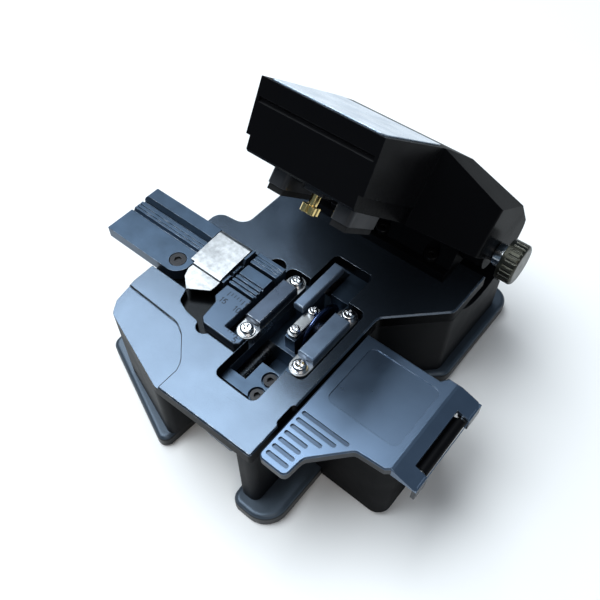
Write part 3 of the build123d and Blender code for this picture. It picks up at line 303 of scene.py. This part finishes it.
    # steels and chrome
    keep(Look("spring_steel", metallic=1.0, anisotropic=0.3)
         .colour((0.34, 0.345, 0.35), 0.14, 3, edge=(0.8, 0.81, 0.82), edge_amount=0.7, edge_mm=0.15)
         .rough(0.2, 0.36, 3, stretch=(0.2, 1, 1))
         .grain(0.08, 0.45, 0.008, stretch=(0.08, 1, 1), round_mm=0.12))
    keep(Look("leaf_steel", metallic=1.0, anisotropic=0.4)
         .colour((0.236, 0.242, 0.248), 0.22, 1.2, edge=(0.8, 0.81, 0.82), edge_amount=0.7, edge_mm=0.15)
         .rough(0.28, 0.42, 2, stretch=(0.2, 1, 1))
         .grain(0.1, 0.6, 0.01, stretch=(0.08, 1, 1), round_mm=0.12))
    keep(Look("chrome", metallic=1.0)
         .colour((0.66, 0.67, 0.69), 0.06, 3, edge=(0.95, 0.95, 0.95), edge_amount=0.5, edge_mm=0.12)
         .rough(0.1, 0.2, 2).grain(0.3, 0.08, 0.006, round_mm=0.18))
    keep(Look("black_steel", metallic=0.7)
         .colour((0.02, 0.02, 0.022), 0.2, 2, edge=(0.3, 0.3, 0.31), edge_amount=0.6, edge_mm=0.15)
         .rough(0.3, 0.42, 2).grain(0.15, 0.2, 0.01, round_mm=0.15))
    # the blade, the anvil, the small print and the painted shadow strip along the wing's step
    keep(Look("blade_carbide", metallic=1.0)
         .colour((0.05, 0.075, 0.17), 0.15, 3, edge=(0.4, 0.5, 0.8), edge_amount=0.8, edge_mm=0.2)
         .rough(0.16, 0.26, 2).grain(0.1, 0.15, 0.006, round_mm=0.1))
    keep(Look("brass", metallic=1.0)
         .colour((0.82, 0.62, 0.26), 0.1, 2, edge=(1.0, 0.88, 0.55), edge_amount=0.7, edge_mm=0.15)
         .rough(0.14, 0.24, 2).grain(0.15, 0.15, 0.006, round_mm=0.15))
    keep(Look("print_and_shadow_dark", specular=0.2)
         .colour((0.012, 0.015, 0.022), 0.2, 1).rough(0.5, 0.6, 1).grain(0.1, 0.2, 0.004, round_mm=0))
    return looks


LOOKS = make_looks()
# the look of each CAD node
NODE_LOOK = {
    "base_shell": "anodised_side_shade", "base_shoe": "shoe_anodised", "deck_plate": "deck_anodised",
    "bottom_cover": "anodised_side_shade", "bin_rail": "anodised_side_shade", "hinge_block": "shadow_black",
    "guide_plate": "anodised", "chassis_plate": "dark_metal", "v_groove_block": "dark_metal",
    "guide_rear_block": "dark_metal", "carriage_block": "dark_metal", "fiber_holder": "dark_metal",
    "left_lower_pad": "pad_grey", "right_lower_pad": "pad_painted_lighter", "carriage_bar": "pad_painted_lighter",
    "left_clamp_bracket": "bare_metal", "right_clamp_bracket": "bare_metal", "blade_bracket": "bare_metal",
    "lid_inner_plate": "lid_inside", "anvil_guide": "lid_inside",
    "left_upper_clamp": "lid_inside", "right_upper_clamp": "lid_inside", "hinge_knob": "knob_metal",
    "left_upper_pad": "rubber", "right_upper_pad": "rubber", "rubber_feet": "rubber",
    "carriage_rails": "spring_steel", "hinge_pin": "spring_steel", "leaf_pin": "spring_steel",
    "holder_leaf": "leaf_steel", "blade_arbor": "spring_steel", "blade_hub": "spring_steel",
    "cover_pin": "spring_steel", "left_clamp_springs": "spring_steel", "right_clamp_springs": "spring_steel",
    "clamp_washers": "chrome", "clamp_screws": "chrome", "friction_washer": "chrome", "side_screw": "chrome",
    "bracket_screws": "chrome", "inner_plate_screws": "chrome",
    "bottom_screws": "black_steel", "chassis_screws": "black_steel", "hinge_block_screws": "black_steel",
    "holder_screw": "black_steel",
    "blade_disc": "blade_carbide", "anvil": "brass",
    "lid_shell": "lid_black", "lid_top_plate": "top_film",
    "bin_body": "shadow_black", "bin_cover": "cover_satin", "push_tab": "moulded_black",
}

for name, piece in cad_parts.items():
    look = LOOKS[NODE_LOOK[name]]
    if not piece.material_slots:
        piece.data.materials.append(look)
    for material_slot in piece.material_slots:
        material_slot.material = look


# ---------------------------------------------------------------- small pieces the CAD leaves plain
def add_piece(name, form, look, body):
    """Turn a bmesh in metres into a piece of the visual model that rides a body."""
    mesh = bpy.data.meshes.new(name)
    bmesh.ops.recalc_face_normals(form, faces=form.faces)
    form.to_mesh(mesh)
    form.free()
    piece = bpy.data.objects.new(name, mesh)
    bpy.context.scene.collection.objects.link(piece)
    mesh.materials.append(LOOKS[look])
    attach(piece, body)
    return piece


MITRE_LIMIT = 0.5


def ribbon(form, points, width, low_z, high_z, closed=False):
    """Solid stroke of even width along a line of points, all in millimetres from the deck's corner."""
    count = len(points)
    flat = [Vector(p) for p in points]
    left, right_side = [], []
    for i, here in enumerate(flat):
        before = flat[(i - 1) % count] if closed or i else None
        after = flat[(i + 1) % count] if closed or i < count - 1 else None
        sides = []
        for a, b in ((before, here), (here, after)):
            if a is not None and b is not None:
                run = (b - a).normalized()
                sides.append(Vector((-run.y, run.x)))
        across_line = sum(sides, Vector((0, 0))).normalized()
        reach = width / 2 / max(MITRE_LIMIT, across_line.dot(sides[0]))
        left.append(here + across_line * reach)
        right_side.append(here - across_line * reach)
    rings = []
    for z in (low_z, high_z):
        rings.append(([form.verts.new(spot(p.x, p.y, z)) for p in left],
                      [form.verts.new(spot(p.x, p.y, z)) for p in right_side]))
    (low_left, low_right), (high_left, high_right) = rings
    spans = range(count) if closed else range(count - 1)
    for i in spans:
        j = (i + 1) % count
        form.faces.new((high_left[i], high_left[j], high_right[j], high_right[i]))
        form.faces.new((low_left[i], low_right[i], low_right[j], low_left[j]))
        form.faces.new((low_left[i], low_left[j], high_left[j], high_left[i]))
        form.faces.new((low_right[i], high_right[i], high_right[j], low_right[j]))
    if not closed:
        for i in (0, count - 1):
            form.faces.new((low_left[i], high_left[i], high_right[i], low_right[i]))


def oval(x, y, wide, high, steps=14):
    turns = [2 * math.pi * i / steps for i in range(steps)]
    return [(x + wide * math.cos(t), y + high * math.sin(t)) for t in turns]


# ---- the scale on the guide plate
PRINT_LOW = GUIDE_TOP - 0.02
PRINT_TOP = GUIDE_TOP + 0.03
DIGIT_STEP = 1.15
DIGIT_STROKE = 0.24
TICK_STROKE = 0.2
DIGITS = {
    "1": ([(-0.25, 0.45), (0.1, 0.8), (0.1, -0.8)], False),
    "0": (oval(0, 0, 0.42, 0.78), True),
    "5": ([(0.42, 0.78), (-0.32, 0.78), (-0.4, 0.1), (-0.1, 0.2), (0.25, 0.1), (0.42, -0.25), (0.25, -0.65),
           (-0.1, -0.8), (-0.42, -0.6)], False),
}
# each number with its middle
NUMBERS = (("15", -35.0, 28.5), ("10", -30.2, 28.5), ("5", -24.1, 21.1))
# rows of ticks 1 mm apart: first x, y at the top, count, which ones are long, short and long length
TICK_ROWS = ((-35.3, 31.9, 7, (0, 5), 1.0, 1.6), (-27.3, 22.7, 5, (), 0.8, 0.8))


def write_number(form, word, x, y):
    for place, digit in enumerate(word):
        stroke, closed = DIGITS[digit]
        middle = x + (place - (len(word) - 1) / 2) * DIGIT_STEP
        line = [(middle + dx, y + dy) for dx, dy in stroke]
        ribbon(form, line, DIGIT_STROKE, PRINT_LOW, PRINT_TOP, closed)


def draw_ticks(form, first_x, top_y, count, long_ones, short, long):
    for i in range(count):
        length = long if i in long_ones else short
        x = first_x + i
        ribbon(form, [(x, top_y), (x, top_y - length)], TICK_STROKE, PRINT_LOW, PRINT_TOP)


scale_form = bmesh.new()
for word, word_x, word_y in NUMBERS:
    write_number(scale_form, word, word_x, word_y)
for row in TICK_ROWS:
    draw_ticks(scale_form, *row)
add_piece("scale_print", scale_form, "print_and_shadow_dark", "base")

# ---- painted shadow: a dark strip along the step of the deck's left wing
WING_STEP = [(-58.4, 16.62), (-41.0, 16.15), (-39.4, 15.85), (-38.0, 15.2), (-36.1, 14.1), (-30.9, 8.75),
             (-30.1, 7.6), (-29.3, 5.65), (-29.3, -0.4)]
STEP_SHADOW_WIDTH = 0.16
step_shadow_form = bmesh.new()
ribbon(step_shadow_form, WING_STEP, STEP_SHADOW_WIDTH, DECK - 0.05, DECK + 0.03)
add_piece("wing_step_shadow", step_shadow_form, "print_and_shadow_dark", "base")

# ---- coils around the stems of the upper clamps
STEM_X = {"left": -24.4, "right": -6.8}
STEM_REACH = 4.0                # each stem's distance from the line of the fibre
COIL_LOW, COIL_HIGH = 42.4, 44.5
COIL_RADIUS = 1.5
WIRE_RADIUS = 0.22
COIL_TURNS = 3
STEPS_PER_TURN = 18
STEPS_AROUND_WIRE = 8


def lid_spot(x, y, z):
    """A place in the closed lid, as a point of the frame with the lid standing open."""
    c, k = math.cos(LID_OPEN), math.sin(LID_OPEN)
    dy, dz = y - HINGE_Y, z - HINGE_Z
    return spot(x, HINGE_Y + dy * c + dz * k, HINGE_Z - dy * k + dz * c)


def wire_ring(form, x, y, z, turn):
    """Ring of points around the wire where it has turned this far around a stem at x, y."""
    ring = []
    for j in range(STEPS_AROUND_WIRE):
        a = 2 * math.pi * j / STEPS_AROUND_WIRE
        r = COIL_RADIUS + WIRE_RADIUS * math.cos(a)
        ring.append(form.verts.new(lid_spot(x + r * math.cos(turn), y + r * math.sin(turn),
                                            z + WIRE_RADIUS * math.sin(a))))
    return ring


def coil(form, x, y):
    """Closed tube wound around a stem of the lid."""
    steps = STEPS_PER_TURN * COIL_TURNS
    climb = COIL_HIGH - COIL_LOW - 2 * WIRE_RADIUS
    rings = []
    for i in range(steps + 1):
        z = COIL_LOW + WIRE_RADIUS + climb * i / steps
        rings.append(wire_ring(form, x, y, z, 2 * math.pi * i / STEPS_PER_TURN))
    for one, other in zip(rings, rings[1:]):
        for j in range(STEPS_AROUND_WIRE):
            k = (j + 1) % STEPS_AROUND_WIRE
            form.faces.new((one[j], one[k], other[k], other[j]))
    form.faces.new(rings[0])
    form.faces.new(rings[-1])


for side_name, stem_x in STEM_X.items():
    coils = bmesh.new()
    for reach in (-STEM_REACH, STEM_REACH):
        coil(coils, stem_x, FIBRE_Y + reach)
    springs = add_piece(side_name + "_coils", coils, "spring_steel", "lid")
    for face in springs.data.polygons:
        face.use_smooth = len(face.vertices) == 4
    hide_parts(side_name + "_clamp_springs")

# ---------------------------------------------------------------- floor, light, camera
FLOOR_HALF_SIZE = 1.5
floor_mesh = bpy.data.meshes.new("floor")
floor_form = bmesh.new()
bmesh.ops.create_grid(floor_form, x_segments=8, y_segments=8, size=FLOOR_HALF_SIZE)
floor_form.to_mesh(floor_mesh)
floor_form.free()
floor = bpy.data.objects.new("floor", floor_mesh)
bpy.context.scene.collection.objects.link(floor)
floor_look = Look("floor_pale", specular=0.1).colour((0.93, 0.92, 0.91), 0.01, 200).rough(0.8, 0.9, 50)
floor_mesh.materials.append(floor_look.material)

AIM = (0, 0, 0.03)      # middle of the object


def softbox(name, place, width, height, power, colour):
    data = bpy.data.lights.new(name, "AREA")
    data.shape = "RECTANGLE"
    data.size, data.size_y = width, height
    data.energy = power
    data.color = colour
    lamp = bpy.data.objects.new(name, data)
    lamp.location = place
    lamp.rotation_euler = (Vector(AIM) - Vector(place)).to_track_quat("-Z", "Y").to_euler()
    bpy.context.scene.collection.objects.link(lamp)


# The window is seen in the front and left of the deck; its rear edge leaves the deck's rear dark.
softbox("window", place=(-0.33, -0.075, 0.85), width=0.92, height=0.58, power=12.2, colour=(0.88, 0.95, 1.0))
softbox("fill", place=(0.6, -0.45, 0.8), width=0.6, height=0.6, power=2.0, colour=(1.0, 0.9, 0.8))

SKY = (0.55, 0.77, 1.0, 1.0)
SKY_STRENGTH = 0.18
world = bpy.data.worlds.new("studio")
world.use_nodes = True
sky = world.node_tree.nodes["Background"]
sky.inputs["Color"].default_value = SKY
sky.inputs["Strength"].default_value = SKY_STRENGTH
bpy.context.scene.world = world
bpy.context.scene.view_settings.view_transform = "Standard"

CAMERA_PLACE = spot(51.8, -43.9, 180.0)
YAW, PITCH, ROLL = (math.radians(a) for a in (129.81, 52.83, -0.37))
LENS_MM = 41.69
SENSOR_MM = 36.0
ahead = Vector((math.cos(PITCH) * math.cos(YAW), math.cos(PITCH) * math.sin(YAW), -math.sin(PITCH)))
across = ahead.cross(Vector((0, 0, 1))).normalized()
upward = across.cross(ahead)
right = across * math.cos(ROLL) + upward * math.sin(ROLL)
up = upward * math.cos(ROLL) - across * math.sin(ROLL)
camera_data = bpy.data.cameras.new("camera")
camera_data.lens = LENS_MM
camera_data.sensor_width = SENSOR_MM
camera_data.clip_start = 0.01
camera = bpy.data.objects.new("camera", camera_data)
turn = Matrix((right, up, -ahead)).transposed()
camera.matrix_world = Matrix.Translation(CAMERA_PLACE) @ turn.to_4x4()
bpy.context.scene.collection.objects.link(camera)
bpy.context.scene.camera = camera
